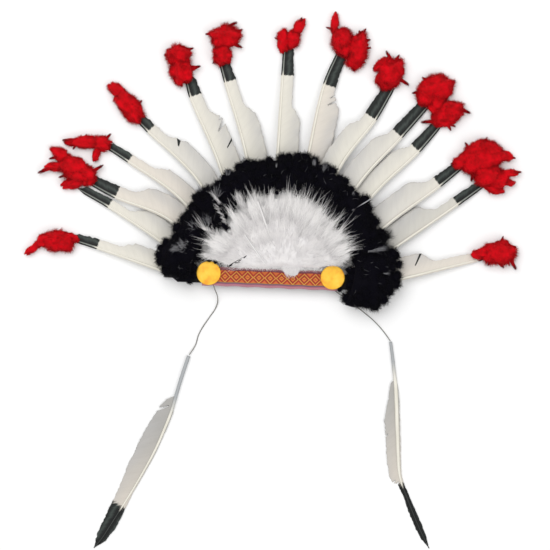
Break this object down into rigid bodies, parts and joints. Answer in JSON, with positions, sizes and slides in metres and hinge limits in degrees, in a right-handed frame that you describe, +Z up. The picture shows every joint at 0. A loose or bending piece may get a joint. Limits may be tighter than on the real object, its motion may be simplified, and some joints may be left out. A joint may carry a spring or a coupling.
{
  "type": "feathered headdress",
  "caption": "Headband with a spread fan of pale dark-tipped feathers, red down tips, black and white down, a woven trim, two discs and two feathers on threads, lying face up",
  "frame": {"origin": "on the surface it lies on, under the middle of the headband", "axes": "+Z up out of the front of the headdress, +Y towards the top of the fan, +X to the right seen from the front"},
  "size_m": [0.5727, 0.6178, 0.0364],
  "materials": {
    "elastic": "woven elastic",
    "felt": "felt",
    "ribbon": "woven pattern",
    "disc": "satin",
    "feather": "natural feather",
    "red_down": "dyed down",
    "black_down": "dyed down",
    "white_down": "down",
    "thread": "waxed thread"
  },
  "bodies": {
    "root": {"back_strap": "elastic", "backing_band": "felt", "woven_ribbon": "ribbon", "disc_left": "disc", "disc_right": "disc", "fan_feather_01": "feather", "fan_feather_02": "feather", "fan_feather_03": "feather", "fan_feather_04": "feather", "fan_feather_05": "feather", "fan_feather_06": "feather", "fan_feather_07": "feather", "fan_feather_08": "feather", "fan_feather_09": "feather", "fan_feather_10": "feather", "fan_feather_11": "feather", "fan_feather_12": "feather", "fan_feather_13": "feather", "fan_feather_14": "feather", "fan_feather_15": "feather", "red_tuft_01": "red_down", "red_tuft_02_03": "red_down", "red_tuft_04": "red_down", "red_tuft_05": "red_down", "red_tuft_06": "red_down", "red_tuft_07": "red_down", "red_tuft_08": "red_down", "red_tuft_09": "red_down", "red_tuft_10": "red_down", "red_tuft_11_12": "red_down", "red_tuft_13_14": "red_down", "red_tuft_15": "red_down", "black_plume_01": "black_down", "black_plume_02": "black_down", "black_plume_03": "black_down", "black_plume_04": "black_down", "black_plume_05": "black_down", "black_plume_06": "black_down", "black_plume_07": "black_down", "black_side_left": "black_down", "black_side_right": "black_down", "white_plume_01": "white_down", "white_plume_02": "white_down", "white_plume_03": "white_down", "white_plume_04": "white_down", "white_plume_05": "white_down", "white_plume_06": "white_down", "white_fluff": "white_down", "hanging_feather_left": "feather", "hanging_feather_right": "feather", "thread_left": "thread", "thread_right": "thread"}
  },
  "joints": []
}
